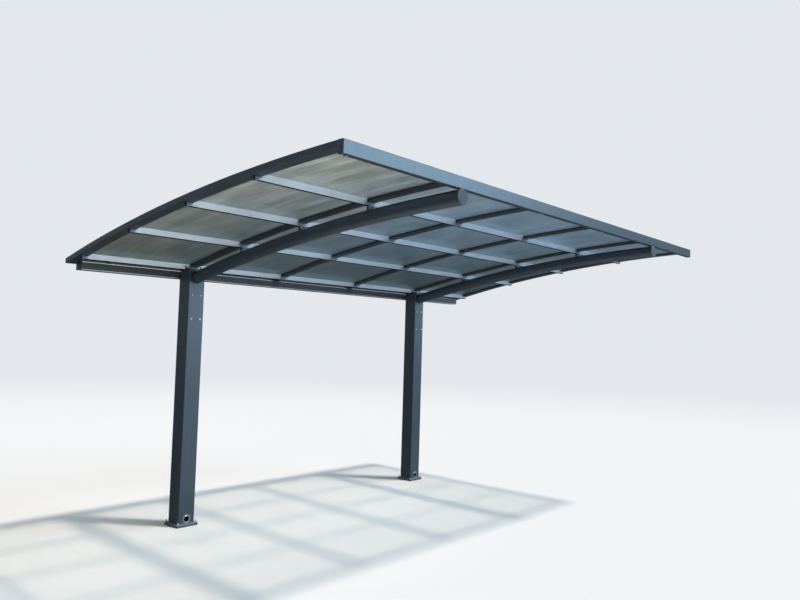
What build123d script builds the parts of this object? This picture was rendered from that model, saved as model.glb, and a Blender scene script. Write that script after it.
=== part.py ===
from build123d import *
import math
import os

# Frame: X along the roof, -Y to the open front edge, +Z up, all in millimetres.
# Origin: centre of the underside of the left base plate.

# Posts and feet
POST_SPACING = 3000.0
POST_W = 150.0
POST_D = 150.0
POST_WALL = 4.0
POST_CORNER = 5.0
PLATE_MARGIN = 25.0
PLATE_T = 20.0
ANCHOR_EDGE = 14.0
ANCHOR_HOLE = 11.0
OUTLET_RISE = 40.0
OUTLET_OUTER = 74.0
OUTLET_BORE = 50.0
OUTLET_RIM = 3.0
OUTLET_ROUND = 1.5

# Roof outline: one circle seen from the end of the roof
ROOF_LENGTH = 5020.0
ROOF_FRONT = -2830.0
FRONT_TOP = 2614.0
HEAD_TOP = 2202.0
ARC_R = 14520.0
SHEET_OVERHANG = 50.0

# Layers below the top circle
SHEET_TOP = 5.0
SHEET_T = 10.0
SHEET_GAP = 8.0
GLAZING_T = 3.0
GLAZING_W = 60.0
RAFTER_W = 80.0
RAFTER_H = 16.0
RAFTER_WALL = 2.5
RAFTER_PITCH = 1000.0
RAFTERS = 4
RAKE_W = 80.0
RAKE_H = 36.0
RAKE_WALL = 3.0
RAKE_SHELF = 38.0
PURLIN_BOTTOM = 61.0
PURLIN_D = 22.0
PURLIN_WALL = 2.5
PURLIN_FRONT = -20.0
PURLIN_PITCH = 688.0
PURLINS = 4
PURLIN_INSET = 30.0
RAKE_PAST = 9.0
FIT = 0.3

# Front fascia
FASCIA_H = 78.0
FASCIA_D = 40.0
FASCIA_WALL = 3.0
END_T = 3.0

# Cantilever beams
BEAM_D = 100.0
BEAM_WALL = 5.0
BEAM_DROP = 132.0
BEAM_REACH = 15.0
BEAM_ROOT = 20.0
BEAM_CAP_T = 6.0
SADDLE_W = 64.0

# Post heads
HEAD_BOLT_DX = 84.0
HEAD_BOLT_DROPS = (204.0, 404.0)
HEAD_BOLT_HOLE = 11.0
INSERT_WALL = 5.0
INSERT_BELOW = 62.0
INSERT_PLATE = 10.0
DRAIN_HOLE = 24.0
DRAIN_INSET = 26.0
CRADLE_W = 80.0
CRADLE_L = 80.0
CRADLE_H = 60.0
CRADLE_RISE = 22.0
POST_CAP_T = 5.0
CLEAT_X = 74.0
CLEAT_W = 44.0
CLEAT_T = 4.0
CLEAT_UP = 34.0
CLEAT_FOOT = 40.0

# Rear gutter, hung from the lowest point of the post caps
GUTTER_DROP = 42.0
GUTTER_DEPTH = 92.0
GUTTER_H = 61.0
GUTTER_REAR_H = 95.0
GUTTER_WALL = 2.5
GUTTER_LIP = 12.0
SPOUT_FLANGE = 2.0
SPOUT_W = 90.0
SPOUT_H = 28.0
SPOUT_WALL = 2.5
SPOUT_RISE = 21.0

# Derived positions
POST_X = (0.0, POST_SPACING)
SIDES = ("left", "right")
ROOF_X0 = POST_SPACING / 2 - ROOF_LENGTH / 2
ROOF_X1 = POST_SPACING / 2 + ROOF_LENGTH / 2
RAFTER_X = [
    POST_SPACING / 2 + RAFTER_PITCH * (i - (RAFTERS - 1) / 2) for i in range(RAFTERS)
]
FRAME_FRONT = ROOF_FRONT + FASCIA_D
SHEET_REAR = POST_D / 2 + SHEET_OVERHANG
GUTTER_FRONT = POST_D / 2 + FIT
GUTTER_REAR = GUTTER_FRONT + GUTTER_DEPTH
RAKE_REAR = GUTTER_REAR + RAKE_PAST
BEAM_TIP = ROOF_FRONT - BEAM_REACH

# Derived circles of the roof
R_SHEET_TOP = ARC_R - SHEET_TOP
R_SHEET_LOW = R_SHEET_TOP - SHEET_T
R_FRAME_TOP = R_SHEET_LOW - FIT
R_RAFTER_LOW = R_FRAME_TOP - RAFTER_H
R_RAKE_LOW = ARC_R - RAKE_H
R_PURLIN_LOW = ARC_R - PURLIN_BOTTOM
R_CAP_LOW = R_PURLIN_LOW - POST_CAP_T
R_BEAM = ARC_R - BEAM_DROP
PURLIN_H = R_FRAME_TOP - R_PURLIN_LOW


def arc_centre():
    """Centre (y, z) of the roof circle through the front edge and over the posts."""
    dy = -ROOF_FRONT
    dz = HEAD_TOP - FRONT_TOP
    span = math.hypot(dy, dz)
    reach = math.sqrt(ARC_R**2 - (span / 2) ** 2)
    y = ROOF_FRONT / 2 + reach * dz / span
    z = (FRONT_TOP + HEAD_TOP) / 2 - reach * dy / span
    return y, z


ARC_Y, ARC_Z = arc_centre()


def height(radius, y):
    """Height of a circle of the roof at a depth y."""
    return ARC_Z + math.sqrt(radius**2 - (y - ARC_Y) ** 2)


def tilt(y):
    """Fall of the roof towards the rear in radians at a depth y."""
    return math.asin((y - ARC_Y) / ARC_R)


HEAD_Z = height(R_CAP_LOW, 0)
HEAD_BOLT_Z = [HEAD_Z - drop for drop in HEAD_BOLT_DROPS]
INSERT_BOTTOM = min(HEAD_BOLT_Z) - INSERT_BELOW
INSERT_TOP = height(R_BEAM - BEAM_D / 2, 0) - CRADLE_RISE
GUTTER_BOTTOM = height(R_CAP_LOW, POST_D / 2) - GUTTER_DROP
SPOUT_Z = GUTTER_BOTTOM + SPOUT_RISE


def band(x0, x1, r_low, r_high, y0, y1):
    """Solid between two circles of the roof, cut upright at both ends."""
    mid = (y0 + y1) / 2
    with BuildPart() as part:
        with BuildSketch(Plane.YZ.offset(x0)):
            with BuildLine():
                ThreePointArc(
                    (y0, height(r_high, y0)),
                    (mid, height(r_high, mid)),
                    (y1, height(r_high, y1)),
                )
                Line((y1, height(r_high, y1)), (y1, height(r_low, y1)))
                ThreePointArc(
                    (y1, height(r_low, y1)),
                    (mid, height(r_low, mid)),
                    (y0, height(r_low, y0)),
                )
                Line((y0, height(r_low, y0)), (y0, height(r_high, y0)))
            make_face()
        extrude(amount=x1 - x0)
    return part.part


def round_bar(x, radius, y_tip, y_root):
    """Solid round bar that follows the curve of the beams."""
    mid = (y_tip + y_root) / 2
    with BuildPart() as bar:
        with BuildLine() as path:
            ThreePointArc(
                (x, y_tip, height(R_BEAM, y_tip)),
                (x, mid, height(R_BEAM, mid)),
                (x, y_root, height(R_BEAM, y_root)),
            )
        start = Plane(
            origin=(x, y_tip, height(R_BEAM, y_tip)),
            x_dir=(1, 0, 0),
            z_dir=path.line % 0,
        )
        with BuildSketch(start):
            Circle(radius)
        sweep(path=path.line)
    return bar.part


def front_wall(x):
    """Plane on the front wall of the post at x, its y upwards."""
    return Plane(origin=(x, -POST_D / 2, 0), x_dir=(1, 0, 0), z_dir=(0, -1, 0))


def save(part, name):
    """Label a part and write it as one file."""
    part.label = name
    export_step(part, "parts/" + name + ".step")


def base_plate(x, name):
    side_x = POST_W + 2 * PLATE_MARGIN
    side_y = POST_D + 2 * PLATE_MARGIN
    pitch_x = side_x - 2 * ANCHOR_EDGE
    pitch_y = side_y - 2 * ANCHOR_EDGE
    with BuildPart() as plate:
        with BuildSketch(Plane.XY):
            with Locations((x, 0)):
                RectangleRounded(side_x, side_y, 6)
                with GridLocations(pitch_x, pitch_y, 2, 2):
                    Circle(ANCHOR_HOLE / 2, mode=Mode.SUBTRACT)
        extrude(amount=PLATE_T)
        chamfer(plate.faces().sort_by(Axis.Z)[-1].outer_wire().edges(), 1)
    save(plate.part, name)


def post(x, name):
    top = height(ARC_R, -POST_D / 2)
    with BuildPart() as tube:
        with BuildSketch(Plane.XY.offset(PLATE_T)):
            with Locations((x, 0)):
                RectangleRounded(POST_W, POST_D, POST_CORNER)
                RectangleRounded(
                    POST_W - 2 * POST_WALL,
                    POST_D - 2 * POST_WALL,
                    POST_CORNER - POST_WALL,
                    mode=Mode.SUBTRACT,
                )
        extrude(amount=top - PLATE_T)
        add(
            band(x - POST_W, x + POST_W, R_CAP_LOW, ARC_R + 100, -POST_D, POST_D),
            mode=Mode.SUBTRACT,
        )
        # rainwater outlet and head bolts in the front wall
        with BuildSketch(front_wall(x)):
            with Locations((0, PLATE_T + OUTLET_RISE)):
                Circle(OUTLET_BORE / 2 + OUTLET_RIM)
            for z in HEAD_BOLT_Z:
                with Locations((-HEAD_BOLT_DX / 2, z), (HEAD_BOLT_DX / 2, z)):
                    Circle(HEAD_BOLT_HOLE / 2)
        extrude(amount=-POST_WALL * 2, mode=Mode.SUBTRACT)
        # slot for the beam, open to the top
        add(round_bar(x, BEAM_D / 2 + 1, BEAM_TIP, BEAM_ROOT), mode=Mode.SUBTRACT)
        z_beam = height(R_BEAM, -POST_D / 2)
        with BuildSketch(front_wall(x)):
            with Locations((0, z_beam + BEAM_D)):
                Rectangle(BEAM_D + 2, 2 * BEAM_D)
        extrude(amount=-POST_WALL * 2, mode=Mode.SUBTRACT)
        # inlet for the gutter spout in the rear wall
        rear = Plane(origin=(x, POST_D / 2, 0), x_dir=(-1, 0, 0), z_dir=(0, 1, 0))
        with BuildSketch(rear):
            with Locations((0, SPOUT_Z)):
                RectangleRounded(SPOUT_W + 2 * FIT, SPOUT_H + 2 * FIT, 6)
        extrude(amount=-POST_WALL * 2, mode=Mode.SUBTRACT)
    save(tube.part, name)


def drain_outlet(x, name):
    wall = front_wall(x)
    centre = (0, PLATE_T + OUTLET_RISE)
    sleeve = OUTLET_BORE / 2 + OUTLET_RIM - FIT
    with BuildPart() as ring:
        with BuildSketch(wall):
            with Locations(centre):
                Circle(OUTLET_OUTER / 2)
                Circle(OUTLET_BORE / 2, mode=Mode.SUBTRACT)
        extrude(amount=OUTLET_RIM)
        outer = ring.faces().sort_by(Axis.Y)[0].outer_wire().edges()
        fillet(outer, OUTLET_ROUND)
        with BuildSketch(wall):
            with Locations(centre):
                Circle(sleeve)
                Circle(OUTLET_BORE / 2, mode=Mode.SUBTRACT)
        extrude(amount=-30)
    save(ring.part, name)


def head_insert(x, name):
    side_x = POST_W - 2 * POST_WALL - 2 * FIT
    side_y = POST_D - 2 * POST_WALL - 2 * FIT
    front = -side_y / 2 + INSERT_WALL
    hole_x = side_x / 2 - DRAIN_INSET
    hole_y = side_y / 2 - DRAIN_INSET
    with BuildPart() as insert:
        with BuildSketch(Plane.XY.offset(INSERT_BOTTOM)):
            with Locations((x, 0)):
                RectangleRounded(side_x, side_y, 2)
                Rectangle(
                    side_x - 2 * INSERT_WALL, side_y - 2 * INSERT_WALL, mode=Mode.SUBTRACT
                )
        extrude(amount=INSERT_TOP - INSERT_BOTTOM)
        with BuildSketch(Plane.XY.offset(INSERT_TOP)):
            with Locations((x, 0)):
                RectangleRounded(side_x, side_y, 2)
            with Locations((x - hole_x, hole_y), (x, hole_y), (x + hole_x, hole_y)):
                Circle(DRAIN_HOLE / 2, mode=Mode.SUBTRACT)
        extrude(amount=INSERT_PLATE)
        # cradle under the beam
        with BuildSketch(Plane.XY.offset(INSERT_TOP + INSERT_PLATE)):
            with Locations((x, front + CRADLE_L / 2)):
                Rectangle(CRADLE_W, CRADLE_L)
        extrude(amount=CRADLE_H)
        add(round_bar(x, BEAM_D / 2 + 0.2, BEAM_TIP, BEAM_ROOT + 40), mode=Mode.SUBTRACT)
        with BuildSketch(front_wall(x)):
            for z in HEAD_BOLT_Z:
                with Locations((-HEAD_BOLT_DX / 2, z), (HEAD_BOLT_DX / 2, z)):
                    Circle(HEAD_BOLT_HOLE / 2)
        extrude(amount=-POST_WALL - 3 * INSERT_WALL, mode=Mode.SUBTRACT)
    save(insert.part, name)


def post_cap(x, name):
    half = POST_W / 2
    with BuildPart() as cap:
        add(band(x - half, x + half, R_CAP_LOW, R_PURLIN_LOW, -POST_D / 2, POST_D / 2))
        add(round_bar(x, BEAM_D / 2 + 0.5, BEAM_TIP, BEAM_ROOT + 60), mode=Mode.SUBTRACT)
    save(cap.part, name)


def beam(x, name):
    tip = BEAM_TIP + BEAM_CAP_T
    with BuildPart() as tube:
        add(round_bar(x, BEAM_D / 2, tip, BEAM_ROOT))
        add(round_bar(x, BEAM_D / 2 - BEAM_WALL, tip, BEAM_ROOT), mode=Mode.SUBTRACT)
    save(tube.part, name)


def beam_cap(x, name):
    y = BEAM_TIP + BEAM_CAP_T
    fall = math.asin((y - ARC_Y) / R_BEAM)
    face = Plane(
        origin=(x, y, height(R_BEAM, y)),
        x_dir=(1, 0, 0),
        z_dir=(0, -math.cos(fall), math.sin(fall)),
    )
    inner = BEAM_D / 2 - BEAM_WALL
    with BuildPart() as cap:
        with BuildSketch(face):
            Circle(BEAM_D / 2)
        extrude(amount=BEAM_CAP_T)
        fillet(cap.faces().sort_by(Axis.Y)[0].edges(), 4)
        with BuildSketch(face):
            Circle(inner - FIT)
            Circle(inner - 5, mode=Mode.SUBTRACT)
        extrude(amount=-18)
    save(cap.part, name)


def purlin_plane(index, x):
    """Plane across a purlin, x to the rear along the roof, y outward, origin below its centre."""
    y = PURLIN_FRONT + PURLIN_D / 2 - PURLIN_PITCH * index
    fall = tilt(y)
    origin = (
        x,
        ARC_Y + R_PURLIN_LOW * math.sin(fall),
        ARC_Z + R_PURLIN_LOW * math.cos(fall),
    )
    return Plane(
        origin=origin, x_dir=(0, math.cos(fall), -math.sin(fall)), z_dir=(1, 0, 0)
    )


def purlin(index, name):
    x0 = ROOF_X0 + PURLIN_INSET
    x1 = ROOF_X1 - PURLIN_INSET
    y = -PURLIN_PITCH * index
    half = RAFTER_W / 2 + FIT
    with BuildPart() as rail:
        with BuildSketch(purlin_plane(index, x0)):
            with Locations((0, PURLIN_H / 2)):
                RectangleRounded(PURLIN_D, PURLIN_H, 2)
                Rectangle(
                    PURLIN_D - 2 * PURLIN_WALL,
                    PURLIN_H - 2 * PURLIN_WALL,
                    mode=Mode.SUBTRACT,
                )
        extrude(amount=x1 - x0)
        for xr in RAFTER_X:
            add(
                band(xr - half, xr + half, R_RAFTER_LOW - FIT, ARC_R + 50, y - 120, y + 120),
                mode=Mode.SUBTRACT,
            )
        ends = (
            (ROOF_X0 - 5, ROOF_X0 + RAKE_W + FIT),
            (ROOF_X1 - RAKE_W - FIT, ROOF_X1 + 5),
        )
        for xa, xb in ends:
            add(
                band(xa, xb, R_RAKE_LOW - FIT, ARC_R + 50, y - 120, y + 120),
                mode=Mode.SUBTRACT,
            )
    save(rail.part, name)


def rafter(x, name):
    x0 = x - RAFTER_W / 2
    x1 = x + RAFTER_W / 2
    wall = RAFTER_WALL
    with BuildPart() as bow:
        add(band(x0, x1, R_RAFTER_LOW, R_FRAME_TOP, FRAME_FRONT, SHEET_REAR))
        add(
            band(
                x0 + wall,
                x1 - wall,
                R_RAFTER_LOW + wall,
                R_FRAME_TOP - wall,
                FRAME_FRONT,
                SHEET_REAR,
            ),
            mode=Mode.SUBTRACT,
        )
    save(bow.part, name)


def rake(x_outer, inward, name):
    """Edge profile; inward is 1 on the left edge and -1 on the right one."""

    def cut(a, b, r_low, r_high, y0, y1):
        xa, xb = sorted((x_outer + inward * a, x_outer + inward * b))
        return band(xa, xb, r_low, r_high, y0, y1)

    wall = RAKE_WALL
    closed = RAKE_REAR - wall
    with BuildPart() as side:
        add(cut(0, RAKE_W, R_RAKE_LOW, ARC_R, FRAME_FRONT, RAKE_REAR))
        # shelf for the edge of the outer sheet
        add(
            cut(
                RAKE_W - RAKE_SHELF,
                RAKE_W + 1,
                R_FRAME_TOP,
                ARC_R + 20,
                FRAME_FRONT - 1,
                RAKE_REAR + 1,
            ),
            mode=Mode.SUBTRACT,
        )
        # hollow, closed at the rear
        add(
            cut(wall, RAKE_W - wall, R_RAKE_LOW + wall, R_FRAME_TOP - wall, FRAME_FRONT, closed),
            mode=Mode.SUBTRACT,
        )
        add(
            cut(
                wall,
                RAKE_W - RAKE_SHELF - wall,
                R_FRAME_TOP - wall - 1,
                ARC_R - wall,
                FRAME_FRONT,
                closed,
            ),
            mode=Mode.SUBTRACT,
        )
    save(side.part, name)


def fascia():
    centre = (ROOF_FRONT + FASCIA_D / 2, FRONT_TOP - FASCIA_H / 2)
    with BuildPart() as board:
        with BuildSketch(Plane.YZ.offset(ROOF_X0 + END_T)):
            with Locations(centre):
                RectangleRounded(FASCIA_D, FASCIA_H, 3)
                Rectangle(
                    FASCIA_D - 2 * FASCIA_WALL,
                    FASCIA_H - 2 * FASCIA_WALL,
                    mode=Mode.SUBTRACT,
                )
        extrude(amount=ROOF_LENGTH - 2 * END_T)
    save(board.part, "front_fascia")
    with BuildPart() as ends:
        for x0 in (ROOF_X0, ROOF_X1 - END_T):
            with BuildSketch(Plane.YZ.offset(x0)):
                with Locations(centre):
                    RectangleRounded(FASCIA_D, FASCIA_H, 3)
            extrude(amount=END_T)
    save(ends.part, "fascia_end_plates")


def sheets():
    edge = RAKE_W - RAKE_SHELF + 2
    edges = [ROOF_X0 + edge] + RAFTER_X + [ROOF_X1 - edge]
    for i in range(RAFTERS + 1):
        x0 = edges[i] + (SHEET_GAP / 2 if i else 0)
        x1 = edges[i + 1] - (SHEET_GAP / 2 if i < RAFTERS else 0)
        with BuildPart() as sheet:
            add(band(x0, x1, R_SHEET_LOW, R_SHEET_TOP, FRAME_FRONT + 1, SHEET_REAR - 2))
        save(sheet.part, "roof_sheet_" + str(i + 1))


def sheet_trim():
    x0 = ROOF_X0 + RAKE_W + 1
    x1 = ROOF_X1 - RAKE_W - 1
    with BuildPart() as trim:
        add(band(x0, x1, R_SHEET_LOW, R_SHEET_TOP, SHEET_REAR - 2, SHEET_REAR))
    save(trim.part, "sheet_edge_trim")


def glazing_cap(x, name):
    low = R_SHEET_TOP + FIT
    half = GLAZING_W / 2
    stem = SHEET_GAP / 2 - 1.5
    with BuildPart() as strip:
        add(band(x - half, x + half, low, low + GLAZING_T, FRAME_FRONT, SHEET_REAR))
        add(
            band(x - stem, x + stem, R_SHEET_LOW + FIT, low, FRAME_FRONT + 1, SHEET_REAR - 2)
        )
    save(strip.part, name)


def saddles(x, name):
    depth = R_PURLIN_LOW - R_BEAM
    with BuildPart() as blocks:
        for index in range(1, PURLINS):
            with BuildSketch(purlin_plane(index, x - SADDLE_W / 2)):
                with Locations((0, -depth / 2)):
                    Rectangle(PURLIN_D, depth)
            extrude(amount=SADDLE_W)
        add(round_bar(x, BEAM_D / 2 + 0.2, BEAM_TIP, BEAM_ROOT), mode=Mode.SUBTRACT)
    save(blocks.part, name)


def cleats(x, name):
    """Two angle pieces that hold the rear purlin on a post head."""
    front = -PURLIN_D / 2
    with BuildPart() as pair:
        for side in (-1, 1):
            with BuildSketch(purlin_plane(0, x + side * CLEAT_X - CLEAT_W / 2)):
                with BuildLine():
                    Polyline(
                        (front, FIT),
                        (front, CLEAT_UP),
                        (front - CLEAT_T, CLEAT_UP),
                        (front - CLEAT_T, CLEAT_T + FIT),
                        (front - CLEAT_FOOT, CLEAT_T + FIT),
                        (front - CLEAT_FOOT, FIT),
                        close=True,
                    )
                make_face()
            extrude(amount=CLEAT_W)
    save(pair.part, name)


def gutter():
    x0 = ROOF_X0 + RAKE_W + 1
    x1 = ROOF_X1 - RAKE_W - 1
    length = x1 - x0 - 2 * END_T
    y0 = GUTTER_FRONT
    y1 = GUTTER_REAR
    w = GUTTER_WALL
    z0 = GUTTER_BOTTOM
    z_front = z0 + GUTTER_H
    z_rear = z0 + GUTTER_REAR_H
    with BuildPart() as floor:
        with BuildSketch(Plane.YZ.offset(x0 + END_T)):
            with Locations(((y0 + y1) / 2, z0 + w / 2)):
                Rectangle(GUTTER_DEPTH, w)
        extrude(amount=length)
    save(floor.part, "gutter_floor")
    with BuildPart() as walls:
        for y, top in ((y0, z_front), (y1 - w, z_rear)):
            with BuildSketch(Plane.YZ.offset(x0 + END_T)):
                with BuildLine():
                    Polyline((y, z0 + w), (y, top), (y + w, top), (y + w, z0 + w), close=True)
                make_face()
            extrude(amount=length)
        for x in POST_X:
            with BuildSketch(Plane.XZ.offset(-y0 + 1)):
                with Locations((x, SPOUT_Z)):
                    RectangleRounded(SPOUT_W + 2 * FIT, SPOUT_H + 2 * FIT, 6)
            extrude(amount=-w - 2, mode=Mode.SUBTRACT)
    save(walls.part, "gutter_walls")
    # rims turned inward at the top of both walls
    with BuildPart() as lips:
        spans = ((y0 + w, y0 + GUTTER_LIP, z_front), (y1 - GUTTER_LIP, y1 - w, z_rear))
        for ya, yb, top in spans:
            with BuildSketch(Plane.YZ.offset(x0 + END_T)):
                with BuildLine():
                    Polyline((ya, top - w), (ya, top), (yb, top), (yb, top - w), close=True)
                make_face()
            extrude(amount=length)
    save(lips.part, "gutter_lips")
    with BuildPart() as ends:
        for xa in (x0, x1 - END_T):
            with BuildSketch(Plane.YZ.offset(xa)):
                with BuildLine():
                    Polyline((y0, z0), (y1, z0), (y1, z_rear), (y0, z_front), close=True)
                make_face()
            extrude(amount=END_T)
    save(ends.part, "gutter_end_plates")


def spout(x, name):
    y0 = GUTTER_FRONT + GUTTER_WALL
    inner_w = SPOUT_W - 2 * SPOUT_WALL
    inner_h = SPOUT_H - 2 * SPOUT_WALL
    with BuildPart() as pipe:
        with BuildSketch(Plane.XZ.offset(-y0)):
            with Locations((x, SPOUT_Z)):
                RectangleRounded(SPOUT_W + 7, SPOUT_H + 7, 8)
                RectangleRounded(inner_w, inner_h, 4, mode=Mode.SUBTRACT)
        extrude(amount=-SPOUT_FLANGE)
        with BuildSketch(Plane.XZ.offset(-y0)):
            with Locations((x, SPOUT_Z)):
                RectangleRounded(SPOUT_W, SPOUT_H, 6)
                RectangleRounded(inner_w, inner_h, 4, mode=Mode.SUBTRACT)
        extrude(amount=24)
    save(pipe.part, name)


def main():
    os.makedirs("parts", exist_ok=True)
    for x, side in zip(POST_X, SIDES):
        base_plate(x, "base_plate_" + side)
        post(x, "post_" + side)
        drain_outlet(x, "drain_outlet_" + side)
        head_insert(x, "head_insert_" + side)
        post_cap(x, "post_cap_" + side)
        beam(x, "beam_" + side)
        beam_cap(x, "beam_cap_" + side)
        saddles(x, "beam_saddles_" + side)
        cleats(x, "purlin_cleats_" + side)
        spout(x, "gutter_spout_" + side)
    rake(ROOF_X0, 1, "rake_left")
    rake(ROOF_X1, -1, "rake_right")
    for i, x in enumerate(RAFTER_X):
        rafter(x, "rafter_" + str(i + 1))
        glazing_cap(x, "glazing_cap_" + str(i + 1))
    for i in range(PURLINS):
        purlin(i, "purlin_" + str(i + 1))
    fascia()
    sheets()
    sheet_trim()
    gutter()


main()
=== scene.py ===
"""Looks of a cantilever carport: two rear posts, curved round beams and an arched sheet roof.

The CAD parts keep their shapes and get their finishes here. Bolts, screws, seals, weld beads,
plugs and straps are modelled on top of them. Sizes are millimetres, and only the studio's and
the ranges along the roof in the sheets' finish are metres.
"""

import logging
import math
from collections.abc import Callable, Sequence
from dataclasses import dataclass
from enum import Enum
from functools import partial

import bmesh
import bpy
from mathutils import Matrix, Vector


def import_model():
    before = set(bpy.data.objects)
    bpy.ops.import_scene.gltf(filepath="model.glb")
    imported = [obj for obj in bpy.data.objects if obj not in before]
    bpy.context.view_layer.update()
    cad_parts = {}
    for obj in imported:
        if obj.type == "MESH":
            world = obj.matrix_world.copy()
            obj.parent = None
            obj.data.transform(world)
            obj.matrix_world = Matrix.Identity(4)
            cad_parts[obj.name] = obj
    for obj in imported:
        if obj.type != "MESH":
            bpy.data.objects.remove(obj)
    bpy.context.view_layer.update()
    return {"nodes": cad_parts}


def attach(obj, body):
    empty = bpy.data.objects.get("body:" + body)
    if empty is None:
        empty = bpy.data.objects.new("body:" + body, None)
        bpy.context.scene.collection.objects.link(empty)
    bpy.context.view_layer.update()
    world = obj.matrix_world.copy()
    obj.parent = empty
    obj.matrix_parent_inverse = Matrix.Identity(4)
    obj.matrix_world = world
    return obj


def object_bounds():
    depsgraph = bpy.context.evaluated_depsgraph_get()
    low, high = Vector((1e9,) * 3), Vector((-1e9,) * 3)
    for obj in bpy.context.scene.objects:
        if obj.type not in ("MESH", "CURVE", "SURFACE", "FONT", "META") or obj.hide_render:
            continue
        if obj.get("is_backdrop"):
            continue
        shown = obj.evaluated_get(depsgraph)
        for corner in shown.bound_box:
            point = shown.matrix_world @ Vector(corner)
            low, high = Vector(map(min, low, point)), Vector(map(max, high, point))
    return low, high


LOG = logging.getLogger("carport")
MM = 0.001
# input sockets of a Mix node that mixes colours
SHARE, BASE, TOP = 0, 6, 7

Colour = tuple[float, float, float, float]
Point = tuple[float, float, float]
Outline = Sequence[tuple[float, ...]]
Setting = float | int | str | bool | tuple[float, ...]
Feed = Setting | bpy.types.Node | bpy.types.NodeSocket
AddNode = Callable[..., bpy.types.Node]

UP: Point = (0, 0, 1)
DOWN: Point = (0, 0, -1)
FRONT: Point = (0, -1, 0)
REAR: Point = (0, 1, 0)


def linear(colour: str) -> Colour:
    """Turn an sRGB hex colour into linear light.

    Args:
        colour: Six hex digits, such as "3b454d".

    Returns:
        Red, green and blue in linear light, and an alpha of one.
    """
    shares = [int(colour[i : i + 2], 16) / 255 for i in (0, 2, 4)]
    light = [s / 12.92 if s <= 0.04045 else ((s + 0.055) / 1.055) ** 2.4 for s in shares]
    return (light[0], light[1], light[2], 1.0)


def add_node(
    tree: bpy.types.NodeTree,
    kind: str,
    inputs: dict[str | int, Feed] | None = None,
    **settings: Setting,
) -> bpy.types.Node:
    """Add one shader node with its settings and links.

    Args:
        tree: Node tree of the material or world.
        kind: Blender's name of the node type.
        inputs: For each input socket a plain value, or the output that is linked to it. A
            node stands for the first of its outputs that is in use.
        **settings: Properties of the node itself.

    Returns:
        The new node.
    """
    node = tree.nodes.new(kind)
    for name, setting in settings.items():
        setattr(node, name, setting)
    for socket, feed in (inputs or {}).items():
        if isinstance(feed, bpy.types.Node):
            feed = next(output for output in feed.outputs if output.enabled)
        if isinstance(feed, bpy.types.NodeSocket):
            tree.links.new(feed, node.inputs[socket])
        else:
            node.inputs[socket].default_value = feed
    return node


def clear_nodes(block: bpy.types.Material | bpy.types.World) -> AddNode:
    """Empty the node tree of a material or world.

    Args:
        block: The material or world.

    Returns:
        The function `add_node`, bound to that node tree.
    """
    block.use_nodes = True
    block.node_tree.nodes.clear()
    return partial(add_node, block.node_tree)


def per_mm(size: float) -> float:
    """Scale of a noise texture whose features are `size` millimetres apart."""
    return 1.0 / (size * MM)


def per_mm_along(x: float, y: float, z: float) -> Point:
    """Scales of a noise texture whose features have a size of their own along each axis."""
    return per_mm(x), per_mm(y), per_mm(z)


class Side(Enum):
    """The two posts, left and right as seen from the open front."""

    LEFT = "left"
    RIGHT = "right"


class Ends(Enum):
    """How a skinned row of rings is finished at its two ends."""

    CAPPED = "capped"
    JOINED = "joined"


@dataclass(frozen=True)
class Surface:
    """A finish by its name, which each kind of finish mixes in its own way."""

    name: str

    def shader(self, add: AddNode) -> bpy.types.Node:
        """Mix the surface, which each kind of finish does for itself."""
        raise NotImplementedError(self.name)

    def build(self) -> bpy.types.Material:
        """Make the material.

        Returns:
            A material that shows this surface.
        """
        material = bpy.data.materials.new(self.name)
        add = clear_nodes(material)
        add("ShaderNodeOutputMaterial", {"Surface": self.shader(add)})
        return material


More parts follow.
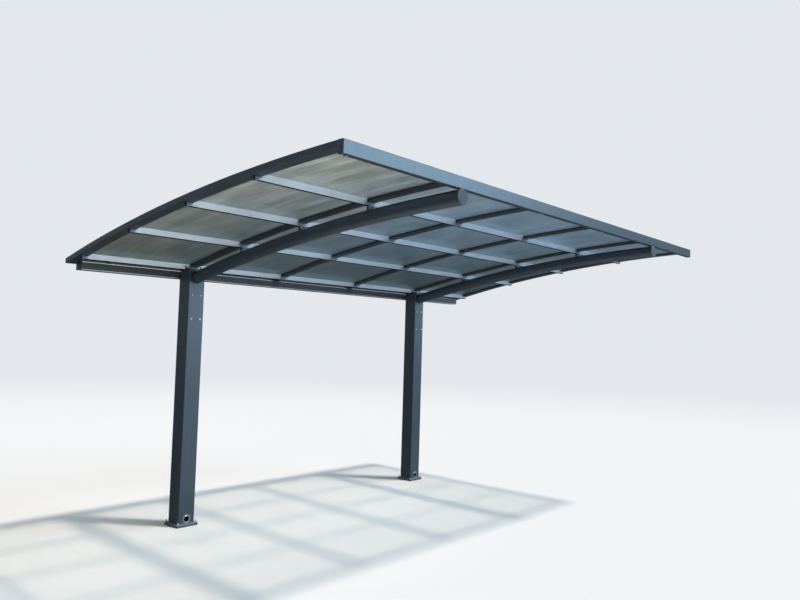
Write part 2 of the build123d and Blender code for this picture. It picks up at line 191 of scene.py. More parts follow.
@dataclass(frozen=True)
class PowderCoat(Surface):
    """Aluminium with a baked powder coat: an even satin film with a faint orange-peel skin."""

    coat: str
    dust: str = "8b8780"
    edge_wear_and_highlight_colour: str = "5b6772"
    roughness: float = 0.31
    gloss: float = 0.5
    dust_share: float = 0.2
    drift: float = 160.0
    streak: float = 9.0
    streak_length: float = 450.0
    speck: float = 28.0
    edge: float = 2.5
    # real peel is about 1 mm; drawn coarser so that it shows at this distance
    peel: float = 4.0
    peel_depth: float = 0.4

    def shader(self, add: AddNode) -> bpy.types.Node:
        """Mix the surface.

        Args:
            add: Adds a node to the material.

        Returns:
            A satin film over metal, so not metallic itself, with a coat-like index of 1.5.
        """
        place = add("ShaderNodeTexCoord").outputs["Object"]
        normal = add("ShaderNodeNewGeometry").outputs["Normal"]
        # slow drift of the shade from batch and sun, about a hand wide
        drift = add(
            "ShaderNodeTexNoise",
            {"Vector": place, "Scale": per_mm(self.drift), "Detail": 3.0, "Roughness": 0.6},
        )
        shade = add(
            "ShaderNodeMapRange",
            {"Value": drift, "From Min": 0.3, "From Max": 0.7, "To Min": 0.9, "To Max": 1.12},
        )
        film = add(
            "ShaderNodeMix",
            {SHARE: 1.0, BASE: linear(self.coat), TOP: shade},
            data_type="RGBA",
            blend_type="MULTIPLY",
        )
        # rain runs: narrow sideways, long up and down
        stretch = add(
            "ShaderNodeVectorMath",
            {0: place, 1: per_mm_along(self.streak, self.streak, self.streak_length)},
            operation="MULTIPLY",
        )
        runs = add("ShaderNodeTexNoise", {"Vector": stretch, "Scale": 1.0, "Detail": 4.0})
        run_dust = add(
            "ShaderNodeMapRange",
            {"Value": runs, "From Min": 0.52, "From Max": 0.78, "To Max": self.dust_share * 0.25},
        )
        # dust that settles on what looks up
        upright = add("ShaderNodeSeparateXYZ", {0: normal}).outputs["Z"]
        upward = add(
            "ShaderNodeMapRange",
            {"Value": upright, "From Min": 0.55, "From Max": 1.0, "To Max": self.dust_share},
        )
        specks = add(
            "ShaderNodeTexNoise",
            {"Vector": place, "Scale": per_mm(self.speck), "Detail": 6.0, "Roughness": 0.7},
        )
        settled = add("ShaderNodeMath", {0: upward, 1: specks}, operation="MULTIPLY")
        dust = add("ShaderNodeMath", {0: run_dust, 1: settled}, operation="MAXIMUM")
        dusted = add(
            "ShaderNodeMix", {SHARE: dust, BASE: film, TOP: linear(self.dust)}, data_type="RGBA"
        )
        # the film is thinner and rubbed lighter along the edges, and on the beam cap the wide light
        # rim is a painted highlight
        rounded = add("ShaderNodeBevel", {"Radius": self.edge * MM}, samples=4)
        bend = add("ShaderNodeVectorMath", {0: rounded, 1: normal}, operation="DOT_PRODUCT")
        edge_wear_and_highlight = add(
            "ShaderNodeMapRange",
            {"Value": bend, "From Min": 0.995, "From Max": 0.86, "To Max": 0.55},
        )
        colour = add(
            "ShaderNodeMix",
            {SHARE: edge_wear_and_highlight, BASE: dusted, TOP: linear(self.edge_wear_and_highlight_colour)},
            data_type="RGBA",
        )
        rough = add(
            "ShaderNodeMapRange",
            {"Value": dust, "From Max": 0.25, "To Min": self.roughness, "To Max": 0.85},
        )
        peel = add("ShaderNodeTexNoise", {"Vector": place, "Scale": per_mm(self.peel), "Detail": 2.0})
        bump = add(
            "ShaderNodeBump",
            {"Strength": 0.25, "Distance": self.peel_depth * MM, "Height": peel, "Normal": rounded},
        )
        return add(
            "ShaderNodeBsdfPrincipled",
            {
                "Base Color": colour,
                "Roughness": rough,
                "IOR": 1.5,
                "Specular IOR Level": self.gloss,
                "Normal": bump,
            },
        )


@dataclass(frozen=True)
class ExtrudedRail(Surface):
    """Natural anodised aluminium extrusion: pale, satin, with faint die lines along its length."""

    face: str
    # colour of the lower side, which is painted shade
    below: str
    # real die lines are finer; drawn 3 mm apart so that they show
    line: float = 3.0
    line_length: float = 900.0
    line_depth: float = 0.2
    drift: float = 220.0

    def shader(self, add: AddNode) -> bpy.types.Node:
        """Mix the surface.

        Args:
            add: Adds a node to the material.

        Returns:
            A pale satin face, and a lower side darkened as painted shade.
        """
        place = add("ShaderNodeTexCoord").outputs["Object"]
        normal = add("ShaderNodeNewGeometry").outputs["Normal"]
        stretch = add(
            "ShaderNodeVectorMath",
            {0: place, 1: per_mm_along(self.line_length, self.line, self.line)},
            operation="MULTIPLY",
        )
        lines = add("ShaderNodeTexNoise", {"Vector": stretch, "Scale": 1.0, "Detail": 3.0})
        drift = add(
            "ShaderNodeTexNoise", {"Vector": place, "Scale": per_mm(self.drift), "Detail": 3.0}
        )
        both = add("ShaderNodeMath", {0: lines, 1: drift}, operation="ADD")
        shade = add(
            "ShaderNodeMapRange",
            {"Value": both, "From Min": 0.6, "From Max": 1.4, "To Min": 0.84, "To Max": 1.1},
        )
        pale = add(
            "ShaderNodeMix",
            {SHARE: 1.0, BASE: linear(self.face), TOP: shade},
            data_type="RGBA",
            blend_type="MULTIPLY",
        )
        # painted shade: faces that look down get the darker colour
        upright = add("ShaderNodeSeparateXYZ", {0: normal}).outputs["Z"]
        under = add("ShaderNodeMapRange", {"Value": upright, "From Min": -0.6, "From Max": -0.75})
        colour = add(
            "ShaderNodeMix", {SHARE: under, BASE: pale, TOP: linear(self.below)}, data_type="RGBA"
        )
        rough = add("ShaderNodeMapRange", {"Value": lines, "To Min": 0.5, "To Max": 0.66})
        bump = add(
            "ShaderNodeBump", {"Strength": 0.3, "Distance": self.line_depth * MM, "Height": lines}
        )
        return add(
            "ShaderNodeBsdfPrincipled",
            {"Base Color": colour, "Metallic": 1.0, "Roughness": rough, "Normal": bump},
        )


@dataclass(frozen=True)
class BareMetal(Surface):
    """Uncoated metal such as turned aluminium, stainless steel or zinc plate."""

    metal: str
    stain: str
    roughness: float = 0.32
    stain_share: float = 0.3
    stain_size: float = 9.0
    grain: float = 2.0
    grain_depth: float = 0.2

    def shader(self, add: AddNode) -> bpy.types.Node:
        """Mix the surface.

        Args:
            add: Adds a node to the material.

        Returns:
            A metallic surface with fine tool marks and duller spots that weather has left.
        """
        place = add("ShaderNodeTexCoord").outputs["Object"]
        spots = add(
            "ShaderNodeTexNoise",
            {"Vector": place, "Scale": per_mm(self.stain_size), "Detail": 5.0, "Roughness": 0.65},
        )
        stained = add(
            "ShaderNodeMapRange",
            {"Value": spots, "From Min": 0.48, "From Max": 0.72, "To Max": self.stain_share},
        )
        colour = add(
            "ShaderNodeMix",
            {SHARE: stained, BASE: linear(self.metal), TOP: linear(self.stain)},
            data_type="RGBA",
        )
        rough = add(
            "ShaderNodeMapRange",
            {
                "Value": spots,
                "From Min": 0.3,
                "From Max": 0.7,
                "To Min": self.roughness,
                "To Max": self.roughness + 0.22,
            },
        )
        grain = add(
            "ShaderNodeTexNoise", {"Vector": place, "Scale": per_mm(self.grain), "Detail": 3.0}
        )
        bump = add(
            "ShaderNodeBump", {"Strength": 0.3, "Distance": self.grain_depth * MM, "Height": grain}
        )
        return add(
            "ShaderNodeBsdfPrincipled",
            {"Base Color": colour, "Metallic": 1.0, "Roughness": rough, "Normal": bump},
        )


@dataclass(frozen=True)
class MultiwallSheet(Surface):
    """Extruded multiwall polycarbonate: two thin skins and upright ribs, smoky and translucent."""

    tint: str
    streak_tint: str
    painted_sky_tint: str
    rib_tint: str = "dfe6e4"
    # colour of the painted shade down the roof
    film: str = "20362a"
    dust: str = "b9b4a6"
    passed: str = "ebe9e3"
    rib: float = 11.0
    rib_share: float = 0.22
    rib_depth: float = 0.6
    streak: float = 55.0
    streak_length: float = 900.0
    rear_shade_size: float = 420.0
    wave: float = 110.0
    wave_length: float = 380.0
    wave_depth: float = 12.0
    speck: float = 70.0

    def shader(self, add: AddNode) -> bpy.types.Node:
        """Mix the surface.

        Args:
            add: Adds a node to the material.

        Returns:
            A frosted see-through sheet with rib lines that run from front to rear.
        """
        place = add("ShaderNodeTexCoord").outputs["Object"]
        normal = add("ShaderNodeNewGeometry").outputs["Normal"]
        spot = add("ShaderNodeSeparateXYZ", {0: place}).outputs
        upright = add("ShaderNodeSeparateXYZ", {0: normal}).outputs["Z"]
        # ribs: one line every 11 mm across the sheet
        phase = add(
            "ShaderNodeMath",
            {0: spot["X"], 1: 2 * math.pi * per_mm(self.rib)},
            operation="MULTIPLY",
        )
        rib_wave = add("ShaderNodeMath", {0: phase}, operation="SINE")
        ribs = add("ShaderNodeMapRange", {"Value": rib_wave, "From Min": 0.55, "From Max": 1.0})
        rib_share = add("ShaderNodeMath", {0: ribs, 1: self.rib_share}, operation="MULTIPLY")
        # water marks and dirt in the flutes: long streaks from front to rear
        stretch = add(
            "ShaderNodeVectorMath",
            {0: place, 1: per_mm_along(self.streak, self.streak_length, self.streak_length)},
            operation="MULTIPLY",
        )
        streaks = add(
            "ShaderNodeTexNoise",
            {"Vector": stretch, "Scale": 1.0, "Detail": 5.0, "Roughness": 0.62},
        )
        streaked = add("ShaderNodeMapRange", {"Value": streaks, "From Min": 0.38, "From Max": 0.66})
        tinted = add(
            "ShaderNodeMix",
            {SHARE: streaked, BASE: linear(self.tint), TOP: linear(self.streak_tint)},
            data_type="RGBA",
        )
        # painted sky reflection: on the lower skin the hue drifts slowly along the roof, from a warm
        # left end to a cool right end
        along = add(
            "ShaderNodeMapRange",
            {"Value": spot["X"], "From Min": -1.0, "From Max": 1.2, "To Max": 0.86},
            interpolation_type="SMOOTHSTEP",
        )
        # weather has dulled and evened the upper skin, while the lower one has kept its gloss
        dulled = add("ShaderNodeMapRange", {"Value": upright, "From Min": 0.0, "From Max": 0.5})
        # the painted sky tint follows that drift on the lower skin and is a fixed share on the upper
        # one
        painted_sky_share = add("ShaderNodeMapRange", {"Value": dulled, "To Min": along, "To Max": 0.42})
        sky_tinted = add(
            "ShaderNodeMix",
            {SHARE: painted_sky_share, BASE: tinted, TOP: linear(self.painted_sky_tint)},
            data_type="RGBA",
        )
        ribbed = add(
            "ShaderNodeMix",
            {SHARE: rib_share, BASE: sky_tinted, TOP: linear(self.rib_tint)},
            data_type="RGBA",
        )
        # painted shade: the sheets grow darker and greener down the roof, towards the gutter
        wander = add(
            "ShaderNodeTexNoise", {"Vector": place, "Scale": per_mm(self.rear_shade_size), "Detail": 3.0}
        )
        down = add("ShaderNodeMath", {0: spot["Y"], 1: wander}, operation="ADD")
        film = add(
            "ShaderNodeMapRange",
            {"Value": down, "From Min": -2.4, "From Max": 0.7, "To Max": 0.8},
            interpolation_type="SMOOTHSTEP",
        )
        rear_shaded = add(
            "ShaderNodeMix", {SHARE: film, BASE: ribbed, TOP: linear(self.film)}, data_type="RGBA"
        )
        # heat has left the skins slightly wavy, so what passes and mirrors wavers along the ribs, and
        # the same waves lighten and darken the colour as painted reflection
        warp = add(
            "ShaderNodeVectorMath",
            {0: place, 1: per_mm_along(self.wave, self.wave_length, self.wave_length)},
            operation="MULTIPLY",
        )
        waves = add("ShaderNodeTexNoise", {"Vector": warp, "Scale": 1.0, "Detail": 4.0})
        painted_waver = add(
            "ShaderNodeMapRange",
            {"Value": waves, "From Min": 0.35, "From Max": 0.65, "To Min": 0.82, "To Max": 1.13},
        )
        mottled = add(
            "ShaderNodeMix",
            {SHARE: 1.0, BASE: rear_shaded, TOP: painted_waver},
            data_type="RGBA",
            blend_type="MULTIPLY",
        )
        # a thin film of dust and pollen on the upper skin
        specks = add(
            "ShaderNodeTexNoise",
            {"Vector": place, "Scale": per_mm(self.speck), "Detail": 7.0, "Roughness": 0.7},
        )
        upward = add("ShaderNodeMapRange", {"Value": upright, "From Min": 0.5, "To Max": 0.35})
        dust = add("ShaderNodeMath", {0: upward, 1: specks}, operation="MULTIPLY")
        colour = add(
            "ShaderNodeMix", {SHARE: dust, BASE: mottled, TOP: linear(self.dust)}, data_type="RGBA"
        )
        glossy = add("ShaderNodeMapRange", {"Value": streaks, "To Min": 0.26, "To Max": 0.42})
        rough = add("ShaderNodeMapRange", {"Value": dulled, "To Min": glossy, "To Max": 0.85})
        # each of these goes from its value on the lower skin to that on the upper one
        mirroring, coat, relief = (
            add("ShaderNodeMapRange", {"Value": dulled, "To Min": lower, "To Max": upper})
            for lower, upper in ((0.5, 0.08), (0.6, 0.0), (0.35, 0.06))
        )
        wavy = add(
            "ShaderNodeBump",
            {"Strength": relief, "Distance": self.wave_depth * MM, "Height": waves},
        )
        bump = add(
            "ShaderNodeBump",
            {
                "Strength": relief,
                "Distance": self.rib_depth * MM,
                "Height": rib_wave,
                "Normal": wavy,
            },
        )
        body = add(
            "ShaderNodeBsdfPrincipled",
            {
                "Base Color": colour,
                "Roughness": rough,
                "IOR": 1.585,
                "Specular IOR Level": mirroring,
                "Transmission Weight": 0.62,
                "Normal": bump,
                "Coat Weight": coat,
                "Coat Roughness": 0.1,
            },
        )
        # direct light passes both skins, so the frame's shadow shows below the roof
        passing = add("ShaderNodeBsdfTransparent", {"Color": linear(self.passed)})
        shadow = add("ShaderNodeLightPath").outputs["Is Shadow Ray"]
        return add("ShaderNodeMixShader", {0: shadow, 1: body, 2: passing})


@dataclass(frozen=True)
class SealRubber(Surface):
    """EPDM rubber of seals and washers: matt black with a dusty bloom."""

    rubber: str
    bloom: str
    bloom_size: float = 18.0
    bloom_depth: float = 0.2

    def shader(self, add: AddNode) -> bpy.types.Node:
        """Mix the surface.

        Args:
            add: Adds a node to the material.

        Returns:
            A matt black surface with a faint grey bloom in patches.
        """
        place = add("ShaderNodeTexCoord").outputs["Object"]
        patches = add(
            "ShaderNodeTexNoise", {"Vector": place, "Scale": per_mm(self.bloom_size), "Detail": 5.0}
        )
        bloomed = add(
            "ShaderNodeMapRange",
            {"Value": patches, "From Min": 0.45, "From Max": 0.75, "To Max": 0.6},
        )
        colour = add(
            "ShaderNodeMix",
            {SHARE: bloomed, BASE: linear(self.rubber), TOP: linear(self.bloom)},
            data_type="RGBA",
        )
        bump = add(
            "ShaderNodeBump",
            {"Strength": 0.3, "Distance": self.bloom_depth * MM, "Height": patches},
        )
        return add(
            "ShaderNodeBsdfPrincipled", {"Base Color": colour, "Roughness": 0.72, "Normal": bump}
        )


class Finish(Enum):
    """The finishes of this carport, each with the record slot that it belongs to."""

    FRAME = (PowderCoat("powder_coated_aluminium_anthracite", "25303a"), "anthracite")
    # the cap's coat is darker than the frame's as painted shade, and its wide light rim is a painted
    # highlight
    CAP = (
        PowderCoat(
            "powder_coated_aluminium_beam_cap",
            "1c252d",
            roughness=0.62,
            edge=8.0,
            edge_wear_and_highlight_colour="8496a8",
        ),
        "anthracite",
    )
    # the gutter's coat is dustier than the frame's, and darker as painted shade
    TROUGH = (
        PowderCoat("powder_coated_aluminium_gutter", "1d242b", roughness=0.48, dust_share=0.35),
        "anthracite",
    )
    # the rafters' coat is darker than the frame's, as painted shade
    RAFTER = (
        PowderCoat("powder_coated_aluminium_rafter", "1e272f", roughness=0.38, gloss=0.28),
        "anthracite",
    )
    FOOT = (
        PowderCoat(
            "powder_coated_aluminium_foot", "39444e", dust_share=0.6, edge_wear_and_highlight_colour="8d949a"
        ),
        "foot_metal",
    )
    INSERT = (PowderCoat("coated_steel_head_insert", "30363c", roughness=0.55), "dark_metal")
    RAIL = (ExtrudedRail("anodised_aluminium_rail", "8f97a4", "2b2d31"), "rail_aluminium")
    # the beads' pale colour is a painted highlight along the gutter's rims
    BEAD = (ExtrudedRail("gutter_bead_painted_highlight", "b2b8c4", "7f858f"), "rail_aluminium")
    OUTLET = (
        BareMetal("cast_aluminium_outlet", "7d8286", "3f4245", roughness=0.45, stain_share=0.7),
        "bright_metal",
    )
    TURNED = (BareMetal("turned_aluminium_lip", "c9cdd0", "8a8c8c"), "bright_metal")
    STAINLESS = (
        BareMetal("stainless_steel_fasteners", "c9ccd0", "8f8b84", roughness=0.28),
        "bright_metal",
    )
    ZINC = (
        BareMetal("zinc_plated_steel_anchors", "a9adb0", "6f6a62", roughness=0.4),
        "bright_metal",
    )
    SHEET = (
        MultiwallSheet("multiwall_polycarbonate", "8f948c", "c4c8bc", painted_sky_tint="6a97bd"),
        "polycarbonate",
    )
    RUBBER = (SealRubber("epdm_rubber_seals", "17181a", "3a3b3c"), "seal_rubber")

    @property
    def slot(self) -> str:
        """Name of the record slot that this finish belongs to."""
        return self.value[1]


class Paintbox:
    """Makes each finish once and dresses CAD nodes and added pieces with it."""

    def __init__(self, nodes: dict[str, bpy.types.Object]) -> None:
        """Keep the CAD nodes that are dressed here.

        Args:
            nodes: CAD node objects by name.
        """
        self.nodes = nodes
        self.made: dict[Finish, bpy.types.Material] = {}

    def material(self, finish: Finish) -> bpy.types.Material:
        """Make a finish the first time it is asked for.

        Args:
            finish: The finish that is wanted.

        Returns:
            Its material.
        """
        if finish not in self.made:
            self.made[finish] = finish.value[0].build()
        return self.made[finish]

    def dress(self, finish: Finish, *names: str) -> None:
        """Give CAD nodes a finish in all of their material slots.

        Args:
            finish: The finish that they get.
            *names: Names of the CAD nodes.
        """
        for name in names:
            for slot in self.nodes[name].material_slots:
                slot.material = self.material(finish)
            LOG.info("dressed %s in %s", name, self.material(finish).name)

    def add_piece(
        self, name: str, bm: bmesh.types.BMesh, finish: Finish, sharp: float = 35.0
    ) -> None:
        """Turn a mesh in millimetres into a piece that rides on the carport's body.

        Args:
            name: Name of the piece.
            bm: Its mesh in millimetres, which is used up.
            finish: Its finish.
            sharp: Edges that bend by more than this many degrees stay crisp.
        """
        bmesh.ops.recalc_face_normals(bm, faces=bm.faces)
        bmesh.ops.scale(bm, vec=(MM, MM, MM), verts=bm.verts)
        mesh = bpy.data.meshes.new(name)
        bm.to_mesh(mesh)
        bm.free()
        mesh.materials.append(self.material(finish))
        mesh.shade_smooth()
        mesh.set_sharp_from_angle(angle=math.radians(sharp))
        piece = bpy.data.objects.new(name, mesh)
        bpy.context.scene.collection.objects.link(piece)
        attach(piece, "root")
        finish.slot
        LOG.info("added %s with %d faces", name, len(mesh.polygons))


def skin(bm: bmesh.types.BMesh, rings: list[list[Vector]], ends: Ends = Ends.CAPPED) -> None:
    """Join rings of equally many points into one surface.

    Args:
        bm: Mesh that the surface is added to.
        rings: Rings of points, in order.
        ends: Whether the two ends get caps or are joined to each other.
    """
    rows = [[bm.verts.new(point) for point in ring] for ring in rings]
    count = len(rows[0])
    pairs = list(zip(rows, rows[1:]))
    if ends is Ends.JOINED:
        pairs.append((rows[-1], rows[0]))
    for low, high in pairs:
        for i in range(count):
            j = (i + 1) % count
            bm.faces.new((low[i], low[j], high[j], high[i]))
    if ends is Ends.CAPPED:
        bm.faces.new(rows[0][::-1])
        bm.faces.new(rows[-1])


def turn(
    bm: bmesh.types.BMesh,
    place: Matrix,
    outline: Outline,
    ends: Ends = Ends.CAPPED,
    count: int = 24,
) -> None:
    """Add a surface that is turned about the local z axis of a place.

    Args:
        bm: Mesh that it is added to.
        place: Where it stands and how it is turned.
        outline: Rings of (radius, height). A hexagonal one also has its width across flats,
            and its points reach no further than the radius.
        ends: Whether the two ends get caps or are joined to each other.
        count: How many points each ring has.
    """
    rings = []
    for radius, z, *across in outline:
        ring = []
        for i in range(count):
            angle = 2 * math.pi * i / count
            reach = radius
            if across:
                off = (angle + math.pi / 6) % (math.pi / 3) - math.pi / 6
                reach = min(radius, across[0] / 2 / math.cos(off))
            ring.append(place @ Vector((reach * math.cos(angle), reach * math.sin(angle), z)))
        rings.append(ring)
    skin(bm, rings, ends)


def facing(point: Point, normal: Point) -> Matrix:
    """A place at a point with its local z along a normal."""
    turned = Vector(normal).to_track_quat("Z", "Y").to_matrix().to_4x4()
    return Matrix.Translation(Vector(point)) @ turned


def spin(degrees: float, axis: str = "Z") -> Matrix:
    """Turn about a local axis. One of 90 about X makes what stands up face the front."""
    return Matrix.Rotation(math.radians(degrees), 4, axis)


def corner_reach(across: float) -> float:
    """How far the corners of a hexagon reach that is this wide across its flats."""
    return across / 2 / math.cos(math.pi / 6)


@dataclass(frozen=True)
class HexBolt:
    """Hexagon head on a plain washer, standing on the local z = 0 plane of its place."""

    across: float = 16.0
    head: float = 6.4
    washer: float = 20.0
    washer_t: float = 2.0
    thread: float = 10.0
    soft: float = 0.3

    def add_washer(self, bm: bmesh.types.BMesh, place: Matrix) -> None:
        """Add the washer.

        Args:
            bm: Mesh that it is added to.
            place: Place on the surface.
        """
        outer, inner, top = self.washer / 2, self.thread / 2 + self.soft, self.washer_t
        outline = (
            (inner, 0.0),
            (outer, 0.0),
            (outer, top - self.soft),
            (outer - self.soft, top),
            (inner, top),
        )
        turn(bm, place, outline, Ends.JOINED)

    def add(self, bm: bmesh.types.BMesh, place: Matrix) -> None:
        """Add washer and head.

        Args:
            bm: Mesh that they are added to.
            place: Place on the surface.
        """
        self.add_washer(bm, place)
        base, top = self.washer_t, self.washer_t + self.head
        corner, flat = corner_reach(self.across), self.across * 0.475
        chamfer = (corner - flat) * math.tan(math.radians(30))
        outline = (
            (self.across * 0.48, base),
            (corner, base + 0.4, self.across),
            (corner, top - chamfer, self.across),
            (corner * 0.97, top - chamfer * 0.6, self.across),
            (flat, top),
            (flat * 0.55, top - 0.15),
        )
        turn(bm, place, outline)


@dataclass(frozen=True)
class AnchorNut(HexBolt):
    """Nut and washer on the threaded end of an anchor, with the pitch cut as fine rings."""

    head: float = 8.4
    stud: float = 22.0
    pitch: float = 1.5
    cut: float = 0.5

    def add(self, bm: bmesh.types.BMesh, place: Matrix) -> None:
        """Add washer, nut and the threaded end.

        Args:
            bm: Mesh that they are added to.
            place: Place on the plate.
        """
        self.add_washer(bm, place)
        base, top = self.washer_t, self.washer_t + self.head
        corner, flat, crest = corner_reach(self.across), self.across * 0.47, self.thread / 2
        outline = (
            (flat, base),
            (corner, base + 0.9, self.across),
            (corner, top - 0.9, self.across),
            (flat, top),
            (crest + 0.2, top - 0.5),
        )
        turn(bm, place, outline)
        root = crest - self.cut
        rings = [(root, 0.0)]
        z = 0.0
        while z + self.pitch < self.stud - 1:
            rings += [(crest, z + self.pitch / 2), (root, z + self.pitch)]
            z += self.pitch
        turn(bm, place, [*rings, (root - 1.0, self.stud)])


@dataclass(frozen=True)
class PanScrew:
    """Low round screw head with a hexagon socket."""

    head_d: float = 10.0
    head: float = 2.6
    socket: float = 3.5

    def add(self, bm: bmesh.types.BMesh, place: Matrix) -> None:
        """Add the head.

        Args:
            bm: Mesh that it is added to.
            place: Place on the surface.
        """
        r, mouth = self.head_d / 2, corner_reach(self.socket)
        outline = (
            (r, 0.0),
            (r, self.head * 0.3),
            (r * 0.93, self.head * 0.62),
            (r * 0.76, self.head * 0.88),
            (r * 0.55, self.head),
            (mouth, self.head, self.socket),
            (mouth, self.head * 0.35, self.socket),
        )
        turn(bm, place, outline)


@dataclass(frozen=True)
class BlindRivet:
    """Low domed rivet head with the pit of its pulled pin."""

    head_d: float = 8.0
    head: float = 1.7
    pin: float = 2.2

    def add(self, bm: bmesh.types.BMesh, place: Matrix) -> None:
        """Add the head.

        Args:
            bm: Mesh that it is added to.
            place: Place on the sheet metal.
        """
        r, pit = self.head_d / 2, self.pin / 2
        outline = (
            (r, 0.0),
            (r * 0.96, self.head * 0.4),
            (r * 0.74, self.head * 0.82),
            (pit + 0.5, self.head),
            (pit, self.head * 0.9),
            (pit, self.head * 0.3),
        )
        turn(bm, place, outline)


@dataclass(frozen=True)
class RoofingScrew:
    """Small hexagon head with a pressed washer, on a rubber washer that bulges a little."""

    seal: float = 15.0
    across: float = 8.0

    def add(self, steel: bmesh.types.BMesh, rubber: bmesh.types.BMesh, place: Matrix) -> None:
        """Add the rubber washer to one mesh and the metal head to the other.

        Args:
            steel: Mesh of the metal heads.
            rubber: Mesh of the rubber washers.
            place: Place on the cover strip.
        """
        r, corner = self.seal / 2, corner_reach(self.across)
        turn(rubber, place, ((r - 0.4, 0.0), (r + 0.3, 0.7), (r - 0.3, 1.4), (2.0, 1.5)))
        outline = (
            (r - 0.6, 1.3),
            (r - 0.5, 1.7),
            (corner + 0.6, 2.3),
            (corner, 2.5, self.across),
            (corner, 5.0, self.across),
            (self.across * 0.46, 5.6),
            (self.across * 0.25, 5.4),
        )
        turn(steel, place, outline)


@dataclass(frozen=True)
class RoofLayout:
    """Outline that all sub-assemblies share: one circle seen from the end of the roof."""

    spacing: float = 3000.0
    post: float = 150.0
    length: float = 5020.0
    front: float = -2830.0
    front_top: float = 2614.0
    head_top: float = 2202.0
    radius: float = 14520.0
    frame_front: float = -2790.0
    sheet_rear: float = 125.0
    sheet_top: float = 5.0
    sheet_low: float = 15.0
    purlin_bottom: float = 61.0
    purlin_d: float = 22.0
    purlin_pitch: float = 688.0
    purlin_front: float = -20.0
    purlins: int = 4
    post_cap_t: float = 5.0
    rafters: int = 4
    rafter_pitch: float = 1000.0
    rafter_w: float = 80.0

    @property
    def centre(self) -> tuple[float, float]:
        """Find the middle of the roof circle.

        Returns:
            Its y and z.
        """
        dz = self.head_top - self.front_top
        span = math.hypot(self.front, dz)
        reach = math.sqrt(self.radius**2 - (span / 2) ** 2)
        y = self.front / 2 + reach * dz / span
        z = (self.front_top + self.head_top) / 2 + reach * self.front / span
        return y, z

    @property
    def x0(self) -> float:
        """Left end of the roof."""
        return (self.spacing - self.length) / 2

    @property
    def x1(self) -> float:
        """Right end of the roof."""
        return (self.spacing + self.length) / 2

    @property
    def seal_ends(self) -> tuple[float, float]:
        """Front and rear end of the seals that follow the sheets."""
        return self.frame_front + 1, self.sheet_rear - 2

    @property
    def head_depth(self) -> float:
        """Depth of the posts' upper ends, under the closure plates."""
        return self.purlin_bottom + self.post_cap_t

    @property
    def rafter_x(self) -> list[float]:
        """Middles of the rafters along the roof."""
        first = self.spacing / 2 - self.rafter_pitch * (self.rafters - 1) / 2
        return [first + self.rafter_pitch * i for i in range(self.rafters)]

    def height(self, depth: float, y: float) -> float:
        """Height at y, from front to rear, of the circle that lies a depth below the top one."""
        cy, cz = self.centre
        return cz + math.sqrt((self.radius - depth) ** 2 - (y - cy) ** 2)

    def place(self, x: float, y: float, depth: float) -> Matrix:
        """A place that lies with the roof: x along it, y down it to the rear, z outward.

        Args:
            x: Place along the roof.
            y: Where the top circle is met, from front to rear.
            depth: Distance below the top circle.

        Returns:
            The matrix from the place to the frame.
        """
        cy, cz = self.centre
        fall = math.asin((y - cy) / self.radius)
        reach = self.radius - depth
        origin = Vector((x, cy + reach * math.sin(fall), cz + reach * math.cos(fall)))
        return Matrix.Translation(origin) @ Matrix.Rotation(-fall, 4, "X")

    def under_purlin(self, x: float, index: int) -> Matrix:
        """A place on the underside of a purlin, of which the rear one is the first."""
        y = self.purlin_front + self.purlin_d / 2 - self.purlin_pitch * index
        return self.place(x, y, self.purlin_bottom)

    def add_strip(
        self, bm: bmesh.types.BMesh, section: Outline, ends: tuple[float, float], steps: int = 36
    ) -> None:
        """Add a strip that follows the roof from front to rear.

        Args:
            bm: Mesh that it is added to.
            section: Its outline as (x, depth) points.
            ends: Its front and rear end.
            steps: Into how many lengths it is divided.
        """
        y0, y1 = ends
        rows = []
        for i in range(steps + 1):
            y = y0 + (y1 - y0) * i / steps
            rows.append([Vector((x, y, self.height(depth, y))) for x, depth in section])
        skin(bm, rows)


def add_bar(bm: bmesh.types.BMesh, section: Outline, x0: float, x1: float) -> None:
    """Add a straight bar along the roof, from x0 to x1, with a section of (y, z) points."""
    skin(bm, [[Vector((x, y, z)) for y, z in section] for x in (x0, x1)])


def round_section(y: float, z: float, radius: float, count: int = 14) -> Outline:
    """Outline of a round bar about (y, z)."""
    angles = [2 * math.pi * i / count for i in range(count)]
    return [(y + radius * math.cos(a), z + radius * math.sin(a)) for a in angles]


@dataclass
class SubAssembly:
    """What each sub-assembly works with: the finishes and the outline of the roof."""

    paint: Paintbox
    roof: RoofLayout


@dataclass
class PostAssembly(SubAssembly):
    """A sub-assembly that both posts have."""

    side: Side

    @property
    def x(self) -> float:
        """Middle of this post along the roof."""
        return 0.0 if self.side is Side.LEFT else self.roof.spacing

    def named(self, stem: str) -> str:
        """Name of a node or piece on this side."""
        return f"{stem}_{self.side.value}"


